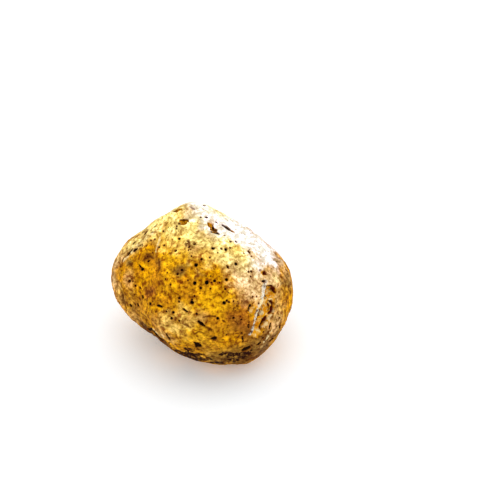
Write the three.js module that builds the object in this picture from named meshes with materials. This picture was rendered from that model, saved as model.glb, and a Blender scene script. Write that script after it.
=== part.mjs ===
// A whole white truffle, dug up and brushed clean: one solid, lobed body. Its pale skin is
// pricked all over by pinholes, creased at the lower left, chipped near the top, and torn
// open down the right side, where three hollows show the flesh.
//
// Units are millimetres. +Z is up, -Y faces the viewer and +X is to the viewer's right.
// The truffle lies on the plane z = 0 on a small flat spot.

import * as THREE from "three";
import { ConvexHull } from "three/addons/math/ConvexHull.js";
import { ImprovedNoise } from "three/addons/math/ImprovedNoise.js";

// Driving dimensions. Every other length is drawn for a truffle of this width.
const WIDTH = 52;
const FLAT_SPOT_DEPTH = 1.1; // how much of the round underside the flat spot takes away
const SEED = 20;

// The body is drawn outwards from this point, which lies deep inside it. A spot on the skin
// is named by two angles seen from here, in degrees: its turn from the front towards the
// right, and its rise above level.
const CORE = new THREE.Vector3(0.5, -0.5, 18);

// The lobes that the truffle grew in. Where two meet they run into each other softly.
const BLEND = 2.2;
const LOBES = [
  { name: "heart", at: [2, -2.5, 19], radii: [20, 20.5, 18.5] },
  { name: "crown", at: [-2, 5, 31.5], radii: [8, 7, 10] },
  { name: "left shoulder", at: [-9.5, 4.5, 25], radii: [8.5, 8.5, 10] },
  { name: "left cheek", at: [-16.5, 3.5, 18.5], radii: [9.5, 11, 11] },
  { name: "left heel", at: [-10.5, -1.5, 12], radii: [10, 7.5, 8] },
  { name: "front foot", at: [4, -9, 11.5], radii: [11.5, 9.5, 11] },
  { name: "right foot", at: [12, -9.5, 11.5], radii: [7.5, 9.5, 10.5] },
  { name: "right cheek", at: [14.5, -1.5, 16.5], radii: [11, 13, 13] },
  { name: "back", at: [1.5, 10, 17], radii: [14.5, 13, 14] },
  { name: "sole", at: [0.5, 3, 10], radii: [11, 11, 10.5] },
];

// Low swells that keep the skin from looking turned on a lathe: size across, and height.
const SWELLS = [
  { across: 11, height: 0.55 },
  { across: 4.5, height: 0.3 },
];

// Long soft folds and narrow furrows, with how wide and deep each one is.
const CREASES = [
  { name: "heel crease", route: [[-54, -4], [-48, -13], [-41, -20], [-34, -28]], width: 1.3, depth: 1.5 },
  { name: "heel furrow", route: [[-30, -5], [-27, -13], [-24, -23]], width: 0.7, depth: 0.6 },
  { name: "cheek groove", route: [[-83, 5], [-78, -1], [-73, -8]], width: 0.9, depth: 0.7 },
  { name: "cheek valley", route: [[-80, -3], [-69, 6], [-49, 20], [-30, 24]], width: 3, depth: 0.6 },
  { name: "shoulder furrow", route: [[-88, 19], [-87, 27], [-88, 36], [-90, 45]], width: 0.9, depth: 0.5 },
  { name: "sole scuff", route: [[-24, -27], [-12, -31], [0, -29]], width: 0.8, depth: 0.5 },
  { name: "back fold", route: [[148, 40], [160, 22], [170, 4], [166, -16]], width: 1.8, depth: 1.3 },
  { name: "back furrow", route: [[-150, 34], [-138, 22], [-132, 6]], width: 1, depth: 0.7 },
  { name: "side furrow", route: [[104, 24], [112, 8], [108, -8]], width: 1.1, depth: 0.7 },
];

// A thin vein that stands up from the left shoulder.
const VEIN = { route: [[-92, 56], [-85, 54], [-75, 51], [-70, 46]], width: 0.5, height: 0.4 };

// The tear in the skin. Its left edge has peeled up into a lip, and the flesh drops beside it.
const TEAR = {
  route: [[59, 29], [54, 27], [52, 24], [48, 19], [42, 14], [37, 8], [35, 2], [32, -6]],
  lip: { from: 0.45, width: 0.42, height: 0.8 },
  drop: { from: 0.5, width: 0.5, depth: 0.9 },
};

// Hollows with a steep wall and a flat floor. Each runs between two spots, its ends round.
const HOLLOWS = [
  { name: "upper flesh hollow", ends: [[58, 21], [56, 18]], radius: 1.5, depth: 1.4, rim: 0.25 },
  { name: "middle flesh hollow", ends: [[51, 12], [49, 9]], radius: 1.7, depth: 1.6, rim: 0.3 },
  { name: "lower flesh hollow", ends: [[44, 6], [39, 1]], radius: 1.4, depth: 1.5, rim: 0.3 },
  { name: "top flesh hollow", ends: [[62, 32], [61, 31]], radius: 0.8, depth: 0.8, rim: 0.15 },
  { name: "flesh spot", ends: [[37, 15], [37, 14]], radius: 1, depth: 0.8, rim: 0.1 },
  { name: "brown spot", ends: [[26, 21], [25, 19]], radius: 0.9, depth: 0.5, rim: 0 },
  { name: "crown chip", ends: [[-106, 73], [-108, 79]], radius: 1, depth: 0.8, rim: 0.1 },
  { name: "long crown chip", ends: [[110, 85], [68, 77]], radius: 0.8, depth: 0.8, rim: 0.1 },
  { name: "crown slit", ends: [[107, 73], [95, 66]], radius: 0.4, depth: 0.6, rim: 0 },
  { name: "rim chip", ends: [[-124, 66], [-115, 69]], radius: 0.7, depth: 0.5, rim: 0 },
  { name: "front gash", ends: [[-1, 12], [5, 8]], radius: 0.6, depth: 1, rim: 0 },
  { name: "shoulder pit", ends: [[-93, 26], [-92, 30]], radius: 0.7, depth: 1, rim: 0 },
  { name: "sole pit", ends: [[-5, -7], [-3, -9]], radius: 1, depth: 0.9, rim: 0 },
  { name: "back hollow", ends: [[-172, 24], [-168, 20]], radius: 1.6, depth: 1.2, rim: 0.2 },
  { name: "back chip", ends: [[122, 36], [130, 32]], radius: 0.9, depth: 0.7, rim: 0.1 },
  { name: "left side hollow", ends: [[-118, 2], [-115, -3]], radius: 1.2, depth: 1, rim: 0.2 },
  { name: "right side hollow", ends: [[84, -14], [88, -17]], radius: 1, depth: 0.8, rim: 0.1 },
];

// The pinholes that stand out on the side that shows: turn, rise and radius.
const PINHOLES = [
  [5, 41, 0.75], [24, 40, 0.6], [-7, 40, 0.65], [12, 42, 0.45], [-7, 54, 0.75], [0, 60, 0.5],
  [23, 67, 0.6], [39, 63, 0.6], [62, 65, 0.5], [69, 61, 0.5], [66, 49, 0.5], [41, 49, 0.6],
  [-23, 49, 0.6], [-64, 70, 0.55], [-70, 31, 0.7], [-69, 16, 0.55], [-69, 2, 0.6],
  [-58, 12, 0.6], [-46, 13, 0.55], [-28, 16, 0.5], [-22, 17, 0.65], [-23, 12, 0.6],
  [-7, 26, 0.75], [-3, 19, 0.55], [18, 26, 0.75], [11, 16, 0.6], [16, 12, 0.5], [22, 13, 0.5],
  [28, 11, 0.5], [17, 2, 0.55], [27, 0, 0.5], [8, -1, 0.6], [31, -15, 0.7], [22, -20, 0.8],
  [43, -10, 0.5], [49, -4, 0.5], [58, -3, 0.5], [50, 38, 0.45], [-48, 61, 0.55], [-20, 73, 0.55],
  [-71, 39, 0.5], [-75, 15, 0.5], [-63, 18, 0.5], [-26, 45, 0.5], [-69, -3, 0.5], [-62, 2, 0.5],
  [-17, 11, 0.5], [-48, 1, 0.5], [-18, 28, 0.5], [-1, 37, 0.5], [-10, -17, 0.5], [50, 61, 0.45],
  [30, 49, 0.5], [56, -9, 0.5], [1, -20, 0.5], [20, 34, 0.45], [33, 4, 0.5],
];

// All the others are dealt out by chance over the sides that don't show: some scattered, most
// in loose groups. A spot shows where its way out leans this far or more towards the viewer.
const SCATTER = { count: 120, groups: 20, spread: 5, inGroups: 0.55, radii: [0.45, 0.75], apart: 2.4 };
const TO_VIEWER = new THREE.Vector3(0, -0.8, 0.6);
const SHOWS = 0.15;
const PINHOLE_DEPTH = 1.2; // in radii

// How closely the skin is drawn: along the marks above, and over the plain skin between.
const FINE_STEP = 0.75;
const PLAIN_STEP = 1.5;
const CLOSEST = 0.32;

// A small generator of repeatable chance numbers from 0 to 1.
let chanceState = SEED;
function chance() {
  chanceState = (chanceState + 0x6d2b79f5) | 0;
  let t = Math.imul(chanceState ^ (chanceState >>> 15), 1 | chanceState);
  t = (t + Math.imul(t ^ (t >>> 7), 61 | t)) ^ t;
  return ((t ^ (t >>> 14)) >>> 0) / 2 ** 32;
}

function chanceDirection() {
  const z = 2 * chance() - 1;
  const turn = 2 * Math.PI * chance();
  const r = Math.sqrt(1 - z * z);
  return new THREE.Vector3(r * Math.cos(turn), r * Math.sin(turn), z);
}

// How far point p lies outside one lobe, close to its skin.
function outsideLobe(lobe, p) {
  const [cx, cy, cz] = lobe.at;
  const [rx, ry, rz] = lobe.radii;
  const x = p.x - cx;
  const y = p.y - cy;
  const z = p.z - cz;
  const size = Math.hypot(x / rx, y / ry, z / rz);
  const slope = Math.hypot(x / rx ** 2, y / ry ** 2, z / rz ** 2);
  return (size * (size - 1)) / slope;
}

// The same for all lobes joined, with the corners between them filled.
function outsideBody(p) {
  let sum = 0;
  for (const lobe of LOBES) sum += Math.exp(-outsideLobe(lobe, p) / BLEND);
  return -BLEND * Math.log(sum);
}

// The point of the bare body in a direction from the core, by halving the interval.
function bodyPoint(direction) {
  let near = 8;
  let far = 40;
  const p = new THREE.Vector3();
  for (let halving = 0; halving < 20; halving++) {
    const reach = (near + far) / 2;
    p.copy(direction).multiplyScalar(reach).add(CORE);
    if (outsideBody(p) < 0) near = reach;
    else far = reach;
  }
  return p;
}

// The way out of the bare body at point p.
function bodyNormal(p) {
  const step = 0.05;
  const slope = (axis) => {
    const ahead = p.clone().addScaledVector(axis, step);
    const behind = p.clone().addScaledVector(axis, -step);
    return outsideBody(ahead) - outsideBody(behind);
  };
  const x = slope(new THREE.Vector3(1, 0, 0));
  const y = slope(new THREE.Vector3(0, 1, 0));
  const z = slope(new THREE.Vector3(0, 0, 1));
  return new THREE.Vector3(x, y, z).normalize();
}

// The bare body's point nearest above or below p, seen from the core.
function onBody(p) {
  return bodyPoint(p.clone().sub(CORE).normalize());
}

// The bare body's point that a turn and a rise in degrees name.
function spot([turn, rise]) {
  const t = THREE.MathUtils.degToRad(turn);
  const r = THREE.MathUtils.degToRad(rise);
  return bodyPoint(new THREE.Vector3(Math.sin(t) * Math.cos(r), -Math.cos(t) * Math.cos(r), Math.sin(r)));
}

// A route of spots as a smooth line of short steps that keeps to the body.
function lineThrough(spots) {
  const curve = new THREE.CatmullRomCurve3(spots.map(spot));
  const steps = Math.ceil(curve.getLength() / FINE_STEP);
  return curve.getSpacedPoints(steps).map(onBody);
}

// Where p lies beside a line: how far off, on which side (right is positive, going down the
// line and seen from outside), and how far along, from 0 to 1.
function besideLine(line, p) {
  let best = { off: Infinity, side: 1, along: 0 };
  const foot = new THREE.Vector3();
  for (let i = 0; i + 1 < line.length; i++) {
    const segment = new THREE.Line3(line[i], line[i + 1]);
    const t = segment.closestPointToPointParameter(p, true);
    segment.at(t, foot);
    const off = foot.distanceTo(p);
    if (off >= best.off) continue;
    const outward = foot.clone().sub(CORE);
    const rightward = outward.cross(line[i + 1].clone().sub(line[i]));
    const side = Math.sign(rightward.dot(p.clone().sub(foot))) || 1;
    best = { off, side, along: (i + t) / (line.length - 1) };
  }
  return best;
}

// A soft bump of height 1 at 0 that has faded out by about twice its width.
const bump = (x, width) => Math.exp(-((x / width) ** 2));
// Fades a line's mark in and out at its two ends.
const fade = (along) => Math.sqrt(Math.max(Math.sin(Math.PI * along), 0));

const creases = CREASES.map((crease) => ({ ...crease, line: lineThrough(crease.route) }));
const vein = lineThrough(VEIN.route);
const tear = lineThrough(TEAR.route);
const hollows = HOLLOWS.map((hollow) => ({ ...hollow, line: hollow.ends.map(spot) }));

function pinhole(place, radius) {
  return { line: [place, place.clone()], radius, depth: PINHOLE_DEPTH * radius, rim: 0 };
}

// How far p is from the hollow's middle line, in radii.
function radiiFrom(hollow, p) {
  const [start, end] = hollow.line;
  if (start.equals(end)) return start.distanceTo(p) / hollow.radius;
  return besideLine(hollow.line, p).off / hollow.radius;
}

for (const [turn, rise, radius] of PINHOLES) hollows.push(pinhole(spot([turn, rise]), radius));

// Deals out the other pinholes, each clear of every hollow and of the tear.
function dealPinholes() {
  const middles = Array.from({ length: SCATTER.groups }, () => bodyPoint(chanceDirection()));
  const wanted = hollows.length + SCATTER.count;
  while (hollows.length < wanted) {
    let place = bodyPoint(chanceDirection());
    if (chance() < SCATTER.inGroups) {
      const middle = middles[Math.floor(chance() * middles.length)];
      const away = chanceDirection().multiplyScalar(SCATTER.spread * chance());
      place = onBody(middle.clone().add(away));
    }
    if (bodyNormal(place).dot(TO_VIEWER) > SHOWS) continue;
    const [least, most] = SCATTER.radii;
    const radius = least + (most - least) * chance() ** 2;
    const clearOfHollows = hollows.every((hollow) => {
      const gap = (radiiFrom(hollow, place) - 1) * hollow.radius;
      return gap > SCATTER.apart - radius;
    });
    if (clearOfHollows && besideLine(tear, place).off > SCATTER.apart) hollows.push(pinhole(place, radius));
  }
}
dealPinholes();

// How far the skin stands out from the bare body at point p.
const noise = new ImprovedNoise();
function relief(p) {
  let height = 0;
  for (const { across, height: most } of SWELLS) {
    height += most * 1.6 * noise.noise(p.x / across + 6, p.y / across + 6, p.z / across);
  }
  for (const { line, width, depth } of creases) {
    const { off, along } = besideLine(line, p);
    height -= depth * bump(off, width) * fade(along);
  }
  const onVein = besideLine(vein, p);
  height += VEIN.height * bump(onVein.off, VEIN.width) * fade(onVein.along);

  const atTear = besideLine(tear, p);
  const across = atTear.side * atTear.off;
  const { lip, drop } = TEAR;
  height += lip.height * bump(across + lip.from, lip.width) * fade(atTear.along);
  height -= drop.depth * bump(across - drop.from, drop.width) * fade(atTear.along);

  let deepest = 0;
  for (const hollow of hollows) {
    const radii = radiiFrom(hollow, p);
    if (radii < 1) deepest = Math.max(deepest, hollow.depth * (1 - radii ** 4));
    else height += hollow.rim * bump(radii - 1.15, 0.2);
  }
  return height - deepest;
}

// The points that the skin is drawn through. One too close to another is left out.
const points = [];
function addPoint(place, clearance) {
  if (points.some((other) => other.distanceToSquared(place) < clearance ** 2)) return;
  points.push(place);
}

// Points round a hollow's middle line, at some radii from it.
function ringAround(hollow, radii) {
  const [start, end] = hollow.line;
  const middle = start.clone().lerp(end, 0.5);
  const outward = bodyNormal(middle);
  const ahead = end.clone().sub(start);
  const half = ahead.length() / 2;
  if (half < 1e-6) ahead.set(outward.y, -outward.x, 0);
  ahead.normalize();
  const rightward = ahead.clone().cross(outward).normalize();
  const reach = radii * hollow.radius;
  const sides = Math.max(6, Math.round((2 * Math.PI * reach + 4 * half) / FINE_STEP));
  for (let i = 0; i < sides; i++) {
    const angle = (2 * Math.PI * i) / sides;
    const forward = Math.cos(angle) * reach + Math.sign(Math.round(Math.cos(angle) * 4)) * half;
    const place = middle.clone().addScaledVector(ahead, forward);
    addPoint(onBody(place.addScaledVector(rightward, Math.sin(angle) * reach)), CLOSEST);
  }
}

// Points beside a line, at some distance to its right.
function rowBeside(line, rightwards) {
  for (let i = 0; i < line.length; i++) {
    const ahead = line[Math.min(i + 1, line.length - 1)].clone().sub(line[Math.max(i - 1, 0)]);
    const rightward = bodyNormal(line[i]).cross(ahead).normalize();
    addPoint(onBody(line[i].clone().addScaledVector(rightward, rightwards)), CLOSEST);
  }
}

for (const hollow of hollows) {
  const small = hollow.radius < 0.85;
  for (const place of hollow.line) addPoint(place, CLOSEST);
  if (!small) ringAround(hollow, 0.6);
  ringAround(hollow, 1);
  if (hollow.rim > 0) ringAround(hollow, 1.3);
}
const { lip, drop } = TEAR;
for (const across of [-lip.from, 0, drop.from, -lip.from - 1, drop.from + 1]) rowBeside(tear, across);
for (const across of [0, -1, 1]) rowBeside(vein, across * VEIN.width * 1.5);
for (const { line, width } of creases) {
  for (const across of [0, -1, 1]) rowBeside(line, across * width);
}
const CANDIDATES = 16000;
for (let i = 0; i < CANDIDATES; i++) addPoint(bodyPoint(chanceDirection()), PLAIN_STEP);

// Joins neighbouring points into triangles: seen from the core they lie on a globe, and the
// hull of that globe has just those triangles.
function drawSkin() {
  const onGlobe = points.map((place) => place.clone().sub(CORE).normalize());
  const raised = new Map();
  points.forEach((place, i) => {
    raised.set(onGlobe[i], place.clone().addScaledVector(bodyNormal(place), relief(place)));
  });
  const box = new THREE.Box3().setFromPoints([...raised.values()]);
  const middle = box.getCenter(new THREE.Vector3());
  const scale = WIDTH / (box.max.x - box.min.x);
  const floor = box.min.z + FLAT_SPOT_DEPTH / scale;
  for (const p of raised.values()) {
    p.set(p.x - middle.x, p.y - middle.y, Math.max(p.z - floor, 0)).multiplyScalar(scale);
  }
  const corners = [];
  for (const face of new ConvexHull().setFromPoints(onGlobe).faces) {
    let edge = face.edge;
    do {
      corners.push(raised.get(edge.head().point));
      edge = edge.next;
    } while (edge !== face.edge);
  }
  return new THREE.BufferGeometry().setFromPoints(corners);
}

const skin = new THREE.MeshStandardMaterial({ color: 0xcf9a3a, roughness: 0.75, metalness: 0 });
const truffle = new THREE.Mesh(drawSkin(), skin);
truffle.name = "truffle";

const part = new THREE.Group();
part.add(truffle);

export default part;
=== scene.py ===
# %% [markdown]
# # A whole white truffle
#
# A white truffle is a fungus that fruits underground. It is one lump of firm flesh in a thin
# golden skin, shaped by the stones and roots that it grew between. This lesson dresses a plain
# faceted solid of one. It keeps the solid's lobes, folds and hollows, and adds what is too fine
# for a solid: round pinholes, scaly skin, torn flesh, and the many colours of the skin.

import math
import random

import bpy
import numpy as np
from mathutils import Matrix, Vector, noise
from mathutils.bvhtree import BVHTree


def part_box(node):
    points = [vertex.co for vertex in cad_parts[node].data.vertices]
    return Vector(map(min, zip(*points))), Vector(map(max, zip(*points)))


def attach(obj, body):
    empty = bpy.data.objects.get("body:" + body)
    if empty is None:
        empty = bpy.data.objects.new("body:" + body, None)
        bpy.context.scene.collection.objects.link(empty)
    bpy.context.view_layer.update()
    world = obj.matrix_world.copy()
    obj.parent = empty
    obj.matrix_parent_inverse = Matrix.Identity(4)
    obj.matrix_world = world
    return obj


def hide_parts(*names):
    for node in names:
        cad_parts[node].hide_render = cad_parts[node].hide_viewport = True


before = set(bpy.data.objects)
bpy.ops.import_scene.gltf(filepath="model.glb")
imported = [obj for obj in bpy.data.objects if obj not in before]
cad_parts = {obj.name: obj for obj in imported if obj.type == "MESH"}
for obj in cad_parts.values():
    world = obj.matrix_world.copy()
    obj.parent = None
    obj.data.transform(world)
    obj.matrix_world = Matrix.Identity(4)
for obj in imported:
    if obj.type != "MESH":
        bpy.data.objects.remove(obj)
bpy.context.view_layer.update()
MM = 0.001
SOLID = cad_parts["truffle"]
LOW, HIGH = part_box("truffle")
print("the solid measures", [round(side / MM, 1) for side in HIGH - LOW], "mm")

# %% [markdown]
# ## The camera
#
# On the table a truffle is looked down on. The camera could be placed by eye, but its place
# can be worked out: how steeply it looks down, and how large and where in a square picture the
# truffle is. A long lens keeps the lump from swelling towards the viewer. The camera is made
# first, because the marks on the side that shows are then placed by looking through it.

# %% The camera
LOOKS_DOWN = math.radians(37)
LENS_MM = 90
SENSOR_MM = 36
PICTURE_PX = 480
PX_PER_M = 3500  # at the truffle
TRUFFLE_PX = (201.15, 280.7)  # where the picture shows the middle of the truffle
MIDDLE = Vector((0, 0, 20 * MM))

forward = Vector((0, math.cos(LOOKS_DOWN), -math.sin(LOOKS_DOWN)))
rightward = Vector((1, 0, 0))
upward = rightward.cross(forward)


def offset_in_picture(x, y):
    """How far pixel (x, y) lies from the picture's middle, across and up, at the truffle."""
    half = PICTURE_PX / 2
    return rightward * ((x - half) / PX_PER_M) - upward * ((y - half) / PX_PER_M)


DISTANCE = PICTURE_PX / PX_PER_M * LENS_MM / SENSOR_MM
EYE = MIDDLE - offset_in_picture(*TRUFFLE_PX) - forward * DISTANCE

lens = bpy.data.cameras.new("camera")
lens.lens = LENS_MM
lens.sensor_width = SENSOR_MM
lens.clip_start = 10 * MM
camera = bpy.data.objects.new("camera", lens)
camera.location = EYE
camera.rotation_euler = (math.pi / 2 - LOOKS_DOWN, 0, 0)
bpy.context.scene.collection.objects.link(camera)
bpy.context.scene.camera = camera
print("the camera stands", round(DISTANCE, 3), "m from the truffle")

# %% [markdown]
# ## The rough body
#
# The solid's triangles are uneven: tiny round the marks and wide between them. Fine skin
# needs small faces of one size everywhere. Subdividing the solid would keep its uneven net, and
# remeshing it in blocks would leave steps. Instead a fine ball is added round it and shrunk on
# to it like foil, which gives an even net that follows every lobe. The solid's own marks are
# smoothed down to soft dimples, because finer ones are cut into them later.

# %% Small helpers for modelling
def only(obj):
    """Selects this object alone, and makes it the active one."""
    bpy.ops.object.select_all(action="DESELECT")
    obj.select_set(True)
    bpy.context.view_layer.objects.active = obj


def apply_modifier(obj, kind, **settings):
    """Adds a modifier with these settings, and applies it."""
    modifier = obj.modifiers.new(kind.lower(), kind)
    for name, value in settings.items():
        setattr(modifier, name, value)
    only(obj)
    bpy.ops.object.modifier_apply(modifier=modifier.name)


def even_out(obj, passes):
    """Smooths the mesh. Each pass moves every point halfway to the middle of its neighbours."""
    apply_modifier(obj, "SMOOTH", factor=0.5, iterations=passes)


def rows_of(items, what):
    """What a mesh's points or faces are asked for, as an array of one row each."""
    flat = np.empty(len(items) * 3)
    items.foreach_get(what, flat)
    return flat.reshape(-1, 3)


# %% A fine ball shrunk on to the solid
BALL_RADIUS = 34 * MM
BALL_SUBDIVISIONS = 6
TOUCHING = 0.002 * MM  # points this close are one

guide = bpy.data.objects.new("guide", SOLID.data.copy())
bpy.context.scene.collection.objects.link(guide)
only(guide)
bpy.ops.object.mode_set(mode="EDIT")
bpy.ops.mesh.select_all(action="SELECT")
bpy.ops.mesh.remove_doubles(threshold=TOUCHING)
bpy.ops.object.mode_set(mode="OBJECT")

bpy.ops.object.select_all(action="DESELECT")
bpy.ops.mesh.primitive_ico_sphere_add(
    subdivisions=BALL_SUBDIVISIONS, radius=BALL_RADIUS, location=MIDDLE
)
skin = bpy.context.active_object
skin.name = "truffle_skin"
bpy.ops.object.transform_apply(location=True)
apply_modifier(
    skin,
    "SHRINKWRAP",
    target=guide,
    wrap_method="PROJECT",
    use_positive_direction=False,
    use_negative_direction=True,
)
even_out(skin, passes=5)

bpy.ops.object.mode_set(mode="EDIT")
bpy.ops.mesh.select_all(action="SELECT")
bpy.ops.mesh.subdivide(number_cuts=1)
bpy.ops.object.mode_set(mode="OBJECT")
even_out(skin, passes=4)
print("the body has", len(skin.data.polygons), "faces")

# %% [markdown]
# ## Finding a spot on the skin
#
# Many marks have their own place on the side that shows. A ray from the camera through a pixel
# meets the skin where the mark is, so each mark can be noted by its pixel in a square picture
# of 480 pixels. A tree of the skin's triangles finds where the ray lands.

# %% Spots seen through the camera
STEPS_BETWEEN = 3  # the steps that a line takes from one noted pixel to the next

skin_tree = BVHTree.FromPolygons(
    [v.co.copy() for v in skin.data.vertices],
    [tuple(p.vertices) for p in skin.data.polygons],
)


def spot(x, y):
    """The point of the skin that pixel (x, y) shows, or the nearest one just off the outline."""
    ray = (forward * DISTANCE + offset_in_picture(x, y)).normalized()
    hit, _, _, _ = skin_tree.ray_cast(EYE, ray)
    if hit is None:
        hit, _, _, _ = skin_tree.find_nearest(EYE + ray * DISTANCE)
    return np.array(hit)


def route(*pixels):
    """A line on the skin through these pixels, with points between them that keep to it."""
    last = len(pixels) - 1
    xs, ys = zip(*pixels)
    places = range(len(pixels))
    steps = np.linspace(0, last, STEPS_BETWEEN * last + 1)
    return [spot(np.interp(t, places, xs), np.interp(t, places, ys)) for t in steps]


print("pixel", TRUFFLE_PX, "shows the skin at", (spot(*TRUFFLE_PX) / MM).round(1), "mm")

# %% [markdown]
# ## The marks and their places
#
# Each mark is noted by where a picture shows it. A hollow, slit, groove, ridge or scuff runs
# through two or more pixels, and has a radius and a depth in millimetres. A ridge's depth is
# negative. A pinhole has one pixel and its radius in pixels. The solid has marks of its own on
# the sides that a picture doesn't show. Its pinholes are found again from its triangles: their
# middles lie deep below their neighbours.

# %% Marks on the side that shows
# Holes torn into the flesh.
FLESH_HOLLOWS = [
    ((268.0, 292.0), (272.4, 291.4), 1.7, 0.8),
    ((265.4, 307.2), (271.0, 306.8), 1.8, 0.8),
    ((263.4, 319.4), (258.8, 326.0), 1.6, 0.8),
    ((262.0, 272.4), (264.6, 273.4), 0.75, 0.7),
    ((251.0, 309.4), (252.8, 310.8), 1.15, 0.7),
]
# Grooves at the torn holes' upper right edges, carved and painted dark red as shadow on their
# walls.
FLESH_SHADOW_GROOVES = [
    ((269.2, 286.2), (271.4, 285.8), (273.8, 288.0), (275.8, 292.8), 0.36, 0.5),
    ((268.8, 301.8), (271.6, 301.6), (274.0, 303.4), 0.45, 0.5),
    ((274.0, 303.4), (273.4, 308.0), (271.4, 311.4), (269.0, 313.8), 0.36, 0.5),
    ((268.4, 304.6), (270.2, 307.0), (269.4, 310.6), 0.28, 0.3),
    ((266.6, 316.4), (266.0, 319.4), (263.6, 323.0), (261.6, 325.6), (261.0, 329.4), 0.48, 0.5),
    ((254.0, 324.6), (253.9, 329.6), 0.35, 0.3),
    ((257.8, 315.2), (259.4, 316.0), 0.3, 0.3),
    ((264.6, 271.2), (265.8, 274.2), 0.4, 0.3),
]
# Pale folds of the flesh, and raised edges of the heel's crease.
PALE_RIDGES = [
    ((265.4, 297.6), (269.0, 298.6), (272.0, 297.8), (274.4, 295.4), 0.42, -0.35),
    ((273.4, 310.4), (270.4, 315.0), (268.6, 318.8), (267.4, 322.8), (263.8, 327.8), 0.5, -0.3),
    ((262.8, 308.8), (262.2, 312.0), (261.2, 314.6), 0.65, -0.25),
    ((259.2, 327.8), (257.6, 329.4), 0.4, -0.2),
    ((256.6, 337.0), (258.2, 338.0), 0.4, -0.2),
    ((123.8, 261.2), (127.6, 257.2), (132.6, 252.6), (136.4, 247.4), 0.55, -0.3),
    ((137.2, 245.6), (140.8, 241.8), (146.0, 237.6), (151.3, 234.6), (156.8, 231.4), 0.6, -0.25),
    ((160.2, 234.6), (159.6, 241.0), (157.4, 247.6), (156.4, 252.0), 0.35, -0.3),
    ((153.8, 328.2), (157.6, 332.4), (161.2, 336.4), 0.35, -0.3),
    ((158.2, 330.0), (161.2, 333.4), (164.0, 337.0), 0.35, -0.3),
    ((263.4, 341.6), (267.8, 336.0), (271.6, 329.4), 0.45, -0.2),
]
# Shallow hollows with earth in them.
BROWN_HOLLOWS = [
    ((180.2, 221.0), (187.2, 220.6), 0.6, 0.6),
    ((181.2, 223.6), (185.4, 222.6), 0.6, 0.5),
    ((208.6, 223.8), (212.2, 227.4), 0.65, 0.6),
    ((211.4, 229.6), (215.4, 230.6), 0.75, 0.6),
    ((212.8, 232.4), (218.0, 234.0), 0.45, 0.5),
    ((230.2, 230.2), (233.4, 231.8), 0.6, 0.5),
    ((174.4, 211.8), (181.0, 209.2), 0.6, 0.4),
    ((234.6, 308.2), (238.4, 307.0), 1.1, 0.3),
    ((168.0, 341.6), (168.8, 342.8), 0.6, 0.3),
]
# Furrows and cracks too shallow to be black, carved and painted brown as the shade in them; the
# widest is painted shade on the heel's crease.
SOFT_GROOVES = [
    ((121.6, 292.0), (122.6, 297.0), (124.4, 302.6), (126.4, 308.0), 0.6, 0.5),
    ((203.6, 317.2), (208.0, 316.2), (215.6, 316.4), 0.3, 0.2),
    ((155.8, 327.6), (159.6, 332.0), (162.8, 336.4), 0.3, 0.3),
    ((161.6, 330.8), (164.8, 335.8), 0.3, 0.3),
    ((158.4, 259.0), (159.4, 266.6), (158.0, 272.4), 0.45, 0.1),
    ((145.8, 294.4), (149.0, 292.4), (152.4, 291.0), 0.6, 0.1),
    ((137.8, 246.6), (142.4, 244.2), 0.35, 0.3),
    ((204.4, 326.2), (207.8, 327.8), (211.2, 329.6), 0.5, 0.3),
    ((195.4, 333.4), (198.6, 331.6), (202.2, 332.6), 0.3, 0.15),
    ((184.6, 324.4), (188.8, 326.2), 0.35, 0.15),
    ((222.6, 320.2), (225.4, 322.2), 0.35, 0.3),
    ((248.8, 359.4), (253.6, 358.6), (258.6, 356.8), 0.8, 0.2),
    ((259.4, 270.4), (261.0, 269.8), 0.4, 0.2),
    ((190.8, 207.2), (194.2, 209.4), 0.4, 0.1),
    ((154.4, 232.0), (151.0, 233.0), 0.35, 0.2),
    ((156.8, 224.6), (154.2, 227.2), 0.4, 0.2),
    ((185.6, 243.4), (186.4, 246.2), 0.45, 0.2),
    ((188.8, 240.6), (189.2, 247.4), 0.4, 0.2),
    ((194.0, 242.6), (194.6, 244.0), 0.5, 0.3),
    ((146.4, 254.4), (149.0, 256.6), 0.5, 0.2),
    ((150.4, 256.4), (151.6, 257.4), 0.4, 0.2),
    ((147.8, 261.2), (149.0, 260.6), 0.5, 0.2),
    ((234.0, 309.4), (234.8, 308.0), 0.45, 0.2),
    ((237.2, 306.0), (239.0, 306.6), 0.45, 0.2),
    ((179.4, 219.7), (183.4, 219.2), (187.6, 219.6), (188.4, 221.6), 0.26, 0.3),
    ((145.6, 328.4), (150.4, 332.4), (156.2, 337.0), (162.4, 342.0), 1.15, 0.1),
    ((263.6, 294.0), (262.4, 297.6), 0.35, 0.2),
    ((259.6, 306.4), (258.6, 308.6), 0.3, 0.2),
    ((254.2, 323.4), (254.0, 328.0), 0.35, 0.2),
]
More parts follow.
